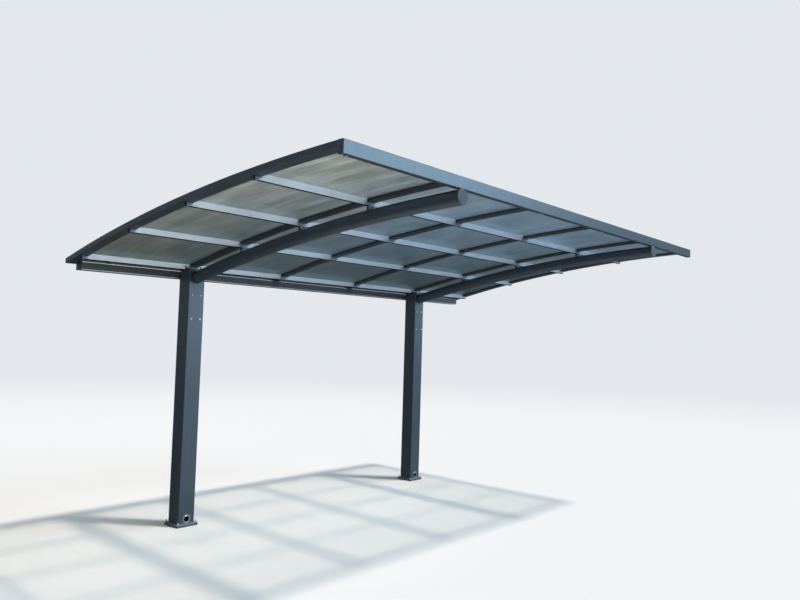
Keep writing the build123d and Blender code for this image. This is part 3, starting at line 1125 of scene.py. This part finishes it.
@dataclass
class Foot(PostAssembly):
    """Base plate, anchors, weld bead and rainwater outlet of one post."""

    nut: AnchorNut = AnchorNut()
    plate_t: float = 20.0
    anchor: float = 86.0
    corner: float = 5.0
    corner_steps: int = 6
    weld: float = 5.0
    weld_step: float = 1.4
    ripple: float = 4.0
    ripple_share: float = 0.16
    outlet_z: float = 60.0
    outlet_d: float = 74.0
    outlet_bore: float = 50.0
    outlet_t: float = 3.0
    ring_count: int = 48

    def build(self) -> None:
        """Dress the CAD parts and add the anchors, the weld and the outlet's seal and lip."""
        self.paint.dress(Finish.FOOT, self.named("base_plate"))
        self.paint.dress(Finish.OUTLET, self.named("drain_outlet"))
        self.add_anchors()
        self.add_weld()
        self.add_outlet_seal()
        self.add_outlet_lip()

    def add_anchors(self) -> None:
        """Add four nuts with washers and threaded ends on the plate."""
        bm = bmesh.new()
        for i, (sx, sy) in enumerate(((-1, -1), (1, -1), (1, 1), (-1, 1))):
            point = (self.x + sx * self.anchor, sy * self.anchor, self.plate_t)
            self.nut.add(bm, facing(point, UP) @ spin(13 + 21 * i))
        self.paint.add_piece(self.named("anchor_nuts"), bm, Finish.ZINC)

    def weld_path(self) -> list[tuple[Vector, Vector]]:
        """Walk once round the post.

        Returns:
            Points on the post's outer face about its axis, each with the way out from it.
        """
        half = self.roof.post / 2 - self.corner
        steps = int(2 * half / self.weld_step)
        path = []
        for k in range(4):
            a0 = math.pi / 2 * k
            along = Vector((-math.sin(a0), math.cos(a0), 0))
            out = Vector((math.cos(a0), math.sin(a0), 0))
            start = out * (half + self.corner) - along * half
            path += [(start + along * (2 * half * i / steps), out) for i in range(steps)]
            middle = out * half + along * half
            for i in range(self.corner_steps):
                a = a0 + math.pi / 2 * i / self.corner_steps
                away = Vector((math.cos(a), math.sin(a), 0))
                path.append((middle + away * self.corner, away))
        return path

    def add_weld(self) -> None:
        """Add the rippled fillet weld round the post on its plate."""
        rows = []
        for i, (point, out) in enumerate(self.weld_path()):
            beat = math.sin(2 * math.pi * i * self.weld_step / self.ripple)
            leg = self.weld * (1 + self.ripple_share * beat)
            base = Vector((self.x, 0, self.plate_t)) + point
            section = (
                (-0.4, -0.2),
                (leg, -0.2),
                (leg * 0.72, leg * 0.34),
                (leg * 0.3, leg * 0.78),
                (-0.4, leg),
            )
            rows.append([base + out * a + Vector((0, 0, b)) for a, b in section])
        bm = bmesh.new()
        skin(bm, rows, Ends.JOINED)
        self.paint.add_piece(self.named("foot_weld"), bm, Finish.FOOT, sharp=60.0)

    def add_outlet_seal(self) -> None:
        """Add the thin rubber ring behind the flange of the outlet."""
        bm = bmesh.new()
        place = facing((self.x, -self.roof.post / 2, self.outlet_z), FRONT)
        r = self.outlet_d / 2
        outline = ((r - 2, 0.0), (r + 2.2, 0.0), (r + 1.8, 1.1), (r - 2, 1.2))
        turn(bm, place, outline, Ends.JOINED, self.ring_count)
        self.paint.add_piece(self.named("outlet_seal"), bm, Finish.RUBBER)

    def add_outlet_lip(self) -> None:
        """Add the bare turned lip of the pipe that stands a little proud of the flange."""
        bm = bmesh.new()
        place = facing((self.x, -self.roof.post / 2 - self.outlet_t, self.outlet_z), FRONT)
        r = self.outlet_bore / 2
        outline = ((r + 0.2, 0.0), (r + 3.0, 0.0), (r + 2.8, 2.2), (r + 2.0, 3.0), (r + 0.6, 2.6))
        turn(bm, place, outline, Ends.JOINED, self.ring_count)
        self.paint.add_piece(self.named("outlet_lip"), bm, Finish.TURNED)


@dataclass
class PostHead(PostAssembly):
    """Post, inner sleeve, closure plate and the cleats that hold the rear purlin."""

    head_bolt: PanScrew = PanScrew(head_d=17.5, head=5.5, socket=6.0)
    head_bolt_dx: float = 84.0
    head_bolt_drops: tuple[float, float] = (204.0, 404.0)
    cleat_bolt: HexBolt = HexBolt(across=13.0, head=5.3, washer=16.0, washer_t=1.6, thread=8.0)
    cleat_x: float = 74.0
    # out and up from the purlin's lower front edge: bolt in the upright flange, bolt in the foot
    cleat_upright: tuple[float, float] = (4.0, 20.4)
    cleat_foot: tuple[float, float] = (24.8, 4.3)

    def build(self) -> None:
        """Dress the CAD parts and add the bolts."""
        coated = (self.named(stem) for stem in ("post", "post_cap", "purlin_cleats"))
        self.paint.dress(Finish.FRAME, *coated)
        self.paint.dress(Finish.INSERT, self.named("head_insert"))
        self.add_head_bolts()
        self.add_cleat_bolts()

    def add_head_bolts(self) -> None:
        """Add the four bolts through the post's front wall into the sleeve."""
        bm = bmesh.new()
        head_z = self.roof.height(self.roof.head_depth, 0)
        for i, drop in enumerate(self.head_bolt_drops):
            for j, sx in enumerate((-1, 1)):
                x = self.x + sx * self.head_bolt_dx / 2
                place = facing((x, -self.roof.post / 2, head_z - drop), FRONT)
                self.head_bolt.add(bm, place @ spin(9 + 17 * i + 23 * j))
        self.paint.add_piece(self.named("head_bolts"), bm, Finish.STAINLESS)

    def add_cleat_bolts(self) -> None:
        """Add one bolt through each flange of the two cleats."""
        bm = bmesh.new()
        half = self.roof.purlin_d / 2
        for sx in (-1, 1):
            base = self.roof.under_purlin(self.x + sx * self.cleat_x, 0)
            for (out, up), turned in ((self.cleat_upright, 90), (self.cleat_foot, 0)):
                place = base @ Matrix.Translation((0, -half - out, up))
                self.cleat_bolt.add(bm, place @ spin(turned, "X"))
        self.paint.add_piece(self.named("cleat_bolts"), bm, Finish.STAINLESS)


@dataclass
class CantileverBeam(PostAssembly):
    """Curved round tube with its end disc, its cover plate at the post and its saddles."""

    tube: float = 100.0
    drop: float = 132.0
    cover_half: float = 58.0
    cover_low: float = 62.0
    cover_gap: float = 0.5
    cover_t: float = 2.0
    ring_count: int = 64
    collar_count: int = 48
    saddle: float = 64.0
    screw_inset: float = 7.0
    screw_drop: float = 10.0

    def build(self) -> None:
        """Dress the CAD parts and add the cover plate, its collar and the screws."""
        self.paint.dress(Finish.FRAME, self.named("beam"), self.named("beam_saddles"))
        self.paint.dress(Finish.CAP, self.named("beam_cap"))
        self.add_cover()
        self.add_collar()
        self.add_saddle_screws()

    def add_cover(self) -> None:
        """Add the plate that closes the slot of the post round the tube."""
        y = -self.roof.post / 2
        z = self.roof.height(self.drop, y)
        up = self.roof.height(self.roof.head_depth, y) - z - self.cover_gap
        rows = []
        for i in range(self.ring_count):
            a = 2 * math.pi * i / self.ring_count
            c, s = math.cos(a), math.sin(a)
            # the hole is a little taller than wide, because the tube leaves the post at a slope
            inner = (self.tube / 2 + 0.8) * c, (self.tube / 2 + 2.2) * s
            to_side = self.cover_half / max(abs(c), 1e-6)
            to_end = (up if s > 0 else self.cover_low) / max(abs(s), 1e-6)
            outer = min(to_side, to_end) * c, min(to_side, to_end) * s
            corners = ((inner, 0), (outer, 0), (outer, self.cover_t), (inner, self.cover_t))
            rows.append([Vector((self.x + dx, y - out, z + dz)) for (dx, dz), out in corners])
        bm = bmesh.new()
        skin(bm, rows, Ends.JOINED)
        self.paint.add_piece(self.named("beam_cover"), bm, Finish.FRAME)

    def add_collar(self) -> None:
        """Add the coated collar that seals the tube where it leaves the cover plate."""
        bm = bmesh.new()
        lean = self.roof.place(self.x, -self.roof.post / 2, self.drop)
        r = self.tube / 2
        outline = ((r + 0.1, -3.0), (r + 2.6, -3.0), (r + 2.0, 3.0), (r + 0.1, 4.5))
        turn(bm, lean @ spin(90, "X"), outline, Ends.JOINED, self.collar_count)
        self.paint.add_piece(self.named("beam_seal"), bm, Finish.FRAME)

    def add_saddle_screws(self) -> None:
        """Add two screws in the front of each saddle."""
        bm = bmesh.new()
        front = Matrix.Translation((0, -self.roof.purlin_d / 2, -self.screw_drop))
        for index in range(1, self.roof.purlins):
            for sx in (-1, 1):
                x = self.x + sx * (self.saddle / 2 - self.screw_inset)
                place = self.roof.under_purlin(x, index) @ front @ spin(90, "X")
                PanScrew().add(bm, place)
        self.paint.add_piece(self.named("saddle_screws"), bm, Finish.STAINLESS)


@dataclass
class RoofFrame(SubAssembly):
    """Purlins, rafters and edge profiles, with their screws and end plugs."""

    screw: PanScrew = PanScrew(head_d=9.0)
    screw_dx: float = 24.0
    rake_screw: float = 45.0
    post_clear: float = 80.0
    rafter_h: float = 16.0
    rafter_top: float = 15.3
    rake_low: float = 36.3
    purlin_inset: float = 30.0
    # body, flange and raised middle of a rafter's plug: inset from its outline, front, rear
    rafter_plug: Outline = ((3.0, 117.0, 125.2), (0.8, 125.2, 127.0), (2.0, 127.0, 127.8))
    # a purlin's plug: distance out from the purlin's end, inset from its outline
    purlin_plug: Outline = ((0.0, 0.4), (1.4, 0.4), (2.0, 1.2), (2.0, 4.0), (1.0, 5.0))

    def build(self) -> None:
        """Dress the CAD parts and add the screws and plugs."""
        self.paint.dress(Finish.RAIL, *(f"purlin_{i + 1}" for i in range(self.roof.purlins)))
        self.paint.dress(Finish.RAFTER, *(f"rafter_{i + 1}" for i in range(self.roof.rafters)))
        self.paint.dress(Finish.FRAME, *(f"rake_{side.value}" for side in Side))
        self.add_crossing_screws()
        self.add_rafter_plugs()
        self.add_purlin_plugs()

    def add_crossing_screws(self) -> None:
        """Add the screws from below through each purlin into the rafters and edge profiles."""
        bm = bmesh.new()
        spots = [x + dx for x in self.roof.rafter_x for dx in (-self.screw_dx, self.screw_dx)]
        spots += [self.roof.x0 + self.rake_screw, self.roof.x1 - self.rake_screw]
        for index in range(self.roof.purlins):
            for x in spots:
                # the rear purlin lies on the post heads, where no screw goes in
                if index == 0 and min(abs(x), abs(x - self.roof.spacing)) < self.post_clear:
                    continue
                self.screw.add(bm, self.roof.under_purlin(x, index) @ spin(180, "X"))
        self.paint.add_piece("crossing_screws", bm, Finish.STAINLESS)

    def add_rafter_plugs(self) -> None:
        """Add the stepped plugs in the rear ends of the rafters."""
        bm = bmesh.new()
        half = self.roof.rafter_w / 2
        for x in self.roof.rafter_x:
            for inset, y0, y1 in self.rafter_plug:
                left, right = x - half + inset, x + half - inset
                low, top = self.rafter_top + self.rafter_h - inset, self.rafter_top + inset
                section = ((left, low), (right, low), (right, top), (left, top))
                self.roof.add_strip(bm, section, (y0, y1), steps=1)
        self.paint.add_piece("rafter_end_plugs", bm, Finish.RUBBER)

    def add_purlin_plugs(self) -> None:
        """Add the dished plugs in both ends of each purlin, below the edge profiles."""
        bm = bmesh.new()
        half = self.roof.purlin_d / 2
        tall = self.roof.purlin_bottom - self.rake_low
        ends = ((self.roof.x0 + self.purlin_inset, -1), (self.roof.x1 - self.purlin_inset, 1))
        for index in range(self.roof.purlins):
            for x, s in ends:
                base = self.roof.under_purlin(x, index)
                rows = []
                for out, rim in self.purlin_plug:
                    y, low, high = half - rim, rim, tall - rim
                    section = ((-y, low), (y, low), (y, high), (-y, high))
                    rows.append([base @ Vector((s * out, a, b)) for a, b in section])
                skin(bm, rows)
        self.paint.add_piece("purlin_end_plugs", bm, Finish.RUBBER)


@dataclass
class Glazing(SubAssembly):
    """Roof sheets, cover strips, seals and roofing screws."""

    cap_w: float = 60.0
    cap_top: float = 1.7
    seal_w: float = 3.0
    rake_step: float = 42.0
    screw_first: float = -2640.0
    screw_pitch: float = 330.0
    screws: int = 9

    def build(self) -> None:
        """Dress the CAD parts and add the seals and screws."""
        sheets = range(self.roof.rafters + 1)
        self.paint.dress(Finish.SHEET, *(f"roof_sheet_{i + 1}" for i in sheets))
        self.paint.dress(Finish.FRAME, *(f"glazing_cap_{i + 1}" for i in sheets[:-1]))
        self.paint.dress(Finish.FRAME, "sheet_edge_trim")
        self.add_cap_seals()
        self.add_rake_seals()
        self.add_roofing_screws()

    def add_cap_seals(self) -> None:
        """Add the rubber lips beside the cover strips above the sheets and the rafters below."""
        bm = bmesh.new()
        # width of the profile, depth of the sheet's skin, taper, depths of the outer and inner edge
        lips = (
            (self.cap_w, self.roof.sheet_top, 1.2, -1.4, -2.4),
            (self.roof.rafter_w, self.roof.sheet_low, 1.0, 1.8, 2.4),
        )
        for x in self.roof.rafter_x:
            for s in (-1, 1):
                for width, z, taper, outer, inner in lips:
                    a = x + s * (width / 2 - 1)
                    b = x + s * (width / 2 + self.seal_w)
                    section = ((a, z), (b, z), (b - s * taper, z + outer), (a, z + inner))
                    self.roof.add_strip(bm, section, self.roof.seal_ends)
        self.paint.add_piece("cover_strip_seals", bm, Finish.RUBBER)

    def add_rake_seals(self) -> None:
        """Add the wedge seals between the outer sheets and the edge profiles."""
        bm = bmesh.new()
        for x, s in ((self.roof.x0, 1), (self.roof.x1, -1)):
            a = x + s * (self.rake_step + 0.1)
            b = x + s * (self.rake_step + 8)
            section = ((a, 1.0), (a, 5.0), (b, 5.0), (b - s * 1.5, 3.6))
            self.roof.add_strip(bm, section, self.roof.seal_ends)
        self.paint.add_piece("edge_seals", bm, Finish.RUBBER)

    def add_roofing_screws(self) -> None:
        """Add the row of roofing screws along each cover strip."""
        steel, rubber = bmesh.new(), bmesh.new()
        for k, x in enumerate(self.roof.rafter_x):
            for i in range(self.screws):
                y = self.screw_first + self.screw_pitch * i
                place = self.roof.place(x, y, self.cap_top) @ spin(19 * i + 31 * k)
                RoofingScrew().add(steel, rubber, place)
        self.paint.add_piece("roofing_screw_heads", steel, Finish.STAINLESS)
        self.paint.add_piece("roofing_screw_washers", rubber, Finish.RUBBER)


@dataclass
class FrontFascia(SubAssembly):
    """Straight front profile with its end plates, underside screws and sheet seal."""

    height: float = 78.0
    depth: float = 40.0
    screw: PanScrew = PanScrew(head_d=9.0)
    screw_dx: float = 18.0
    rake_screw: float = 31.0
    rake_gap: float = 43.0
    rafter_gap: float = 33.0

    def build(self) -> None:
        """Dress the CAD parts and add the screws and the seal."""
        self.paint.dress(Finish.FRAME, "front_fascia", "fascia_end_plates")
        self.add_screws()
        self.add_seal()

    def add_screws(self) -> None:
        """Add pairs of screws in the underside below each rafter and edge profile."""
        bm = bmesh.new()
        y = self.roof.front + self.depth * 0.55
        z = self.roof.front_top - self.height
        ends = (self.roof.x0 + self.rake_screw, self.roof.x1 - self.rake_screw)
        for x in (*self.roof.rafter_x, *ends):
            for dx in (-self.screw_dx, self.screw_dx):
                self.screw.add(bm, facing((x + dx, y, z), DOWN))
        self.paint.add_piece("fascia_screws", bm, Finish.STAINLESS)

    def add_seal(self) -> None:
        """Add the bead between the front profile and the upper side of each sheet."""
        bm = bmesh.new()
        y = self.roof.frame_front
        z = self.roof.height(self.roof.sheet_top, y)
        section = ((y + 0.1, z - 0.4), (y + 0.1, z + 4.2), (y + 2.2, z + 2.0), (y + 5.0, z - 0.3))
        stops = [self.roof.x0 + self.rake_gap]
        for x in self.roof.rafter_x:
            stops += [x - self.rafter_gap, x + self.rafter_gap]
        stops.append(self.roof.x1 - self.rake_gap)
        for x0, x1 in zip(stops[::2], stops[1::2]):
            add_bar(bm, section, x0, x1)
        self.paint.add_piece("fascia_seal", bm, Finish.RUBBER)


@dataclass
class RearGutter(SubAssembly):
    """Trough behind the posts, with rolled beads, straps and joint sleeve."""

    front: float = 75.3
    depth: float = 92.0
    drop: float = 42.0
    front_h: float = 61.0
    rear_h: float = 95.0
    end_gap: float = 82.0
    post_gap: float = 1.0
    bead: float = 4.0
    bead_sink: float = 1.0
    straps: int = 7
    strap_w: float = 22.0
    strap_t: float = 2.0
    strap_flat: float = 12.0
    strap_inset: float = 350.0
    sleeve_w: float = 120.0
    sleeve_t: float = 1.5
    sleeve_front: float = 9.0
    sleeve_drop: float = 14.0
    rivet_pitch: float = 24.0
    rivet_first: float = 14.0
    rivets: int = 3

    @property
    def rear(self) -> float:
        """Outer face of the gutter's rear wall."""
        return self.front + self.depth

    @property
    def bottom(self) -> float:
        """Height of the gutter's underside."""
        return self.roof.height(self.roof.head_depth, self.roof.post / 2) - self.drop

    def build(self) -> None:
        """Dress the CAD parts and add beads, straps and sleeve."""
        walls = ("gutter_floor", "gutter_walls", "gutter_lips", "gutter_end_plates")
        self.paint.dress(Finish.TROUGH, *walls)
        self.paint.dress(Finish.FRAME, *(f"gutter_spout_{side.value}" for side in Side))
        self.add_beads()
        self.add_straps()
        self.add_sleeve()
        self.add_rivets()

    def add_beads(self) -> None:
        """Add the rolled beads on both rims and along the lower front edge."""
        bm = bmesh.new()
        x0, x1 = self.roof.x0 + self.end_gap, self.roof.x1 - self.end_gap
        r = self.bead
        add_bar(bm, round_section(self.front + r, self.bottom + self.front_h, r), x0, x1)
        add_bar(bm, round_section(self.rear - r, self.bottom + self.rear_h, r), x0, x1)
        half = self.roof.post / 2 + self.post_gap
        stops = (x0, -half, half, self.roof.spacing - half, self.roof.spacing + half, x1)
        sunk = r - self.bead_sink
        for a, b in zip(stops[::2], stops[1::2]):
            add_bar(bm, round_section(self.front + sunk, self.bottom + sunk, r), a, b)
        self.paint.add_piece("gutter_beads", bm, Finish.BEAD)

    def add_straps(self) -> None:
        """Add the bent straps that tie the two rims together."""
        bm = bmesh.new()
        z0, z1 = self.bottom + self.front_h + 0.2, self.bottom + self.rear_h + 0.2
        y0, y1 = self.front + 3, self.rear - 3
        path = [(y0, z0), (y0 + self.strap_flat, z0), (y1 - self.strap_flat, z1), (y1, z1)]
        section = [*path, *((y, z + self.strap_t) for y, z in reversed(path))]
        gap = (self.roof.length - 2 * self.strap_inset) / (self.straps - 1)
        for i in range(self.straps):
            x = self.roof.x0 + self.strap_inset + gap * i
            add_bar(bm, section, x - self.strap_w / 2, x + self.strap_w / 2)
        self.paint.add_piece("gutter_straps", bm, Finish.FRAME)

    def add_sleeve(self) -> None:
        """Add the folded cover over the joint at mid length."""
        bm = bmesh.new()
        y0, y1, t = self.front + self.sleeve_front, self.rear, self.sleeve_t
        low, top = self.bottom, self.bottom + self.rear_h - self.sleeve_drop
        section = ((y0, low), (y0, low - t), (y1 + t, low - t), (y1 + t, top), (y1, top), (y1, low))
        x, half = self.roof.spacing / 2, self.sleeve_w / 2
        add_bar(bm, section, x - half, x + half)
        self.paint.add_piece("gutter_joint_sleeve", bm, Finish.TROUGH)

    def add_rivets(self) -> None:
        """Add two rows of rivets in the sleeve's underside and rear."""
        bm = bmesh.new()
        low, y0, y1 = self.bottom, self.front + self.sleeve_front, self.rear + self.sleeve_t
        for dx in (-self.sleeve_w * 0.38, self.sleeve_w * 0.38):
            x = self.roof.spacing / 2 + dx
            for i in range(self.rivets):
                step = self.rivet_first + self.rivet_pitch * i
                BlindRivet().add(bm, facing((x, y0 + step, low - self.sleeve_t), DOWN))
                BlindRivet().add(bm, facing((x, y1, low + step), REAR))
        self.paint.add_piece("gutter_rivets", bm, Finish.STAINLESS)


@dataclass(frozen=True)
class Lamp:
    """Distant soft lamp: the way to it, its strength, its width in degrees and its colour."""

    name: str
    towards: Point
    energy: float
    angle: float
    colour: str

    def build(self) -> None:
        """Add the lamp to the scene."""
        lamp = bpy.data.lights.new(self.name, "SUN")
        lamp.energy = self.energy
        lamp.angle = math.radians(self.angle)
        lamp.color = linear(self.colour)[:3]
        holder = bpy.data.objects.new(self.name, lamp)
        holder.rotation_mode = "QUATERNION"
        holder.rotation_quaternion = Vector(self.towards).to_track_quat("Z", "Y")
        holder.location = Vector(self.towards) * 4
        bpy.context.scene.collection.objects.link(holder)


@dataclass
class Studio:
    """Plain pale floor, soft light and the camera at the photograph's viewing angle, in metres."""

    # the main light is high at the front right, a wide cool one and a low one in front stand for
    # the sky there, and two weak ones keep the rear and the left readable
    lamps: tuple[Lamp, ...] = (
        Lamp("main_light", (0.7, -0.99, 2.6), 3.2, 5.0, "fff0e0"),
        Lamp("rear_light", (0.3, 1.0, 0.2), 1.3, 50.0, "dfe9f4"),
        Lamp("left_light", (-1.0, -0.1, 0.08), 1.1, 50.0, "dfe9f4"),
        Lamp("front_light", (0.596, -0.71, 0.375), 3.2, 40.0, "b8e0ff"),
        Lamp("low_light", (0.45, -0.89, 0.06), 0.6, 30.0, "c4e2ff"),
    )
    background: str = "e4e8ec"
    sky: str = "e4ebf2"
    sky_strength: float = 0.28
    floor: float = 60.0
    floor_colour: str = "d0d1d1"
    floor_dim_colour: str = "38332b"
    # the floor fades to the background between two distances from the middle of the carport
    fade_centre: Point = (1.5, -1.3, 0.0)
    fade: tuple[float, float] = (7.0, 22.0)
    # what is mirrored of it dims between two distances from a point in front of the carport
    dim_centre: Point = (1.0, -5.0, 0.0)
    dim: tuple[float, float] = (3.0, 7.0)
    eye: Point = (-3.5235, -5.4024, 1.6127)
    yaw: float = 49.366
    pitch: float = 3.410
    roll: float = 1.667
    focal_px: float = 722.64
    middle_px: tuple[float, float] = (401.95, 295.85)
    frame_px: tuple[float, float] = (800.0, 600.0)
    sensor: float = 36.0
    clip_end: float = 500.0

    def build(self) -> None:
        """Set up floor, world, lamps and camera."""
        self.add_floor()
        self.add_world()
        for lamp in self.lamps:
            lamp.build()
        self.add_camera()
        bpy.context.scene.view_settings.view_transform = "Standard"

    def background_mask(self, add: AddNode) -> bpy.types.Node:
        """Mask of the rays that are shown the plain background.

        Args:
            add: Adds a node to the floor or the world.

        Returns:
            A node that gives one for camera and see-through rays.
        """
        rays = add("ShaderNodeLightPath").outputs
        shown = {0: rays["Is Camera Ray"], 1: rays["Is Transmission Ray"]}
        return add("ShaderNodeMath", shown, operation="MAXIMUM")

    def floor_material(self) -> bpy.types.Material:
        """Make the matt pale floor.

        Returns:
            A material that fades into the background away from the carport.
        """
        material = bpy.data.materials.new("pale_studio_floor")
        add = clear_nodes(material)
        place = add("ShaderNodeTexCoord").outputs["Object"]
        # both masks grow from zero to one between two distances from a point
        faded, dimmed = (
            add(
                "ShaderNodeMapRange",
                {
                    "Value": add("ShaderNodeVectorMath", {0: place, 1: centre}, operation="DISTANCE"),
                    "From Min": near,
                    "From Max": far,
                },
                interpolation_type="SMOOTHSTEP",
            )
            for centre, (near, far) in ((self.fade_centre, self.fade), (self.dim_centre, self.dim))
        )
        shown = add("ShaderNodeMath", {0: faded, 1: self.background_mask(add)}, operation="MULTIPLY")
        # mirrored, the floor is dark, so that it doesn't flood the roof's underside with light
        glossy = add("ShaderNodeLightPath").outputs["Is Glossy Ray"]
        mirrored = add("ShaderNodeMath", {0: dimmed, 1: glossy}, operation="MULTIPLY")
        colours = {BASE: linear(self.floor_colour), TOP: linear(self.floor_dim_colour)}
        shade = add("ShaderNodeMix", {SHARE: mirrored, **colours}, data_type="RGBA")
        pale = add(
            "ShaderNodeBsdfPrincipled",
            {"Base Color": shade, "Roughness": 0.9, "Specular IOR Level": 0.1},
        )
        glow = add("ShaderNodeEmission", {"Color": linear(self.background), "Strength": 1.0})
        surface = add("ShaderNodeMixShader", {0: shown, 1: pale, 2: glow})
        add("ShaderNodeOutputMaterial", {"Surface": surface})
        return material

    def add_floor(self) -> None:
        """Add the round floor."""
        bm = bmesh.new()
        bmesh.ops.create_circle(bm, cap_ends=True, segments=96, radius=self.floor)
        mesh = bpy.data.meshes.new("studio_floor")
        bm.to_mesh(mesh)
        bm.free()
        mesh.materials.append(self.floor_material())
        floor = bpy.data.objects.new("studio_floor", mesh)
        bpy.context.scene.collection.objects.link(floor)
        floor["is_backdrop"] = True

    def add_world(self) -> None:
        """Light the scene evenly, and show a plain pale background."""
        world = bpy.data.worlds.new("studio_world")
        bpy.context.scene.world = world
        add = clear_nodes(world)
        light, shown = (
            add("ShaderNodeBackground", {"Color": linear(colour), "Strength": strength})
            for colour, strength in ((self.sky, self.sky_strength), (self.background, 1.0))
        )
        mixed = add("ShaderNodeMixShader", {0: self.background_mask(add), 1: light, 2: shown})
        add("ShaderNodeOutputWorld", {"Surface": mixed})

    def add_camera(self) -> None:
        """Add the camera that was fitted to the photograph."""
        yaw, pitch, roll = (math.radians(a) for a in (self.yaw, self.pitch, self.roll))
        flat = Vector((math.sin(yaw), math.cos(yaw), 0.0))
        ahead = flat * math.cos(pitch) + Vector((0.0, 0.0, math.sin(pitch)))
        level = Vector((math.cos(yaw), -math.sin(yaw), 0.0))
        above = level.cross(ahead)
        right = math.cos(roll) * level + math.sin(roll) * above
        up = right.cross(ahead)
        width, height = self.frame_px
        data = bpy.data.cameras.new("camera")
        data.sensor_width = self.sensor
        data.lens = self.focal_px / width * self.sensor
        data.shift_x = (width / 2 - self.middle_px[0]) / width
        data.shift_y = (self.middle_px[1] - height / 2) / width
        data.clip_end = self.clip_end
        camera = bpy.data.objects.new("camera", data)
        turned = Matrix((right, up, -ahead)).transposed().to_4x4()
        camera.matrix_world = Matrix.Translation(Vector(self.eye)) @ turned
        bpy.context.scene.collection.objects.link(camera)
        bpy.context.scene.camera = camera


def corners() -> list[list[float]]:
    """Lowest and highest corner of the shown object as plain lists."""
    return [list(corner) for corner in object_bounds()]


def main() -> None:
    """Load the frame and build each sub-assembly."""
    logging.basicConfig(level=logging.INFO, format="%(name)s: %(message)s")
    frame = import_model()
    paint = Paintbox(frame["nodes"])
    roof = RoofLayout()
    Studio().build()
    for side in Side:
        Foot(paint, roof, side).build()
        PostHead(paint, roof, side).build()
        CantileverBeam(paint, roof, side).build()
    RoofFrame(paint, roof).build()
    Glazing(paint, roof).build()
    FrontFascia(paint, roof).build()
    RearGutter(paint, roof).build()


if __name__ == "__main__":
    main()
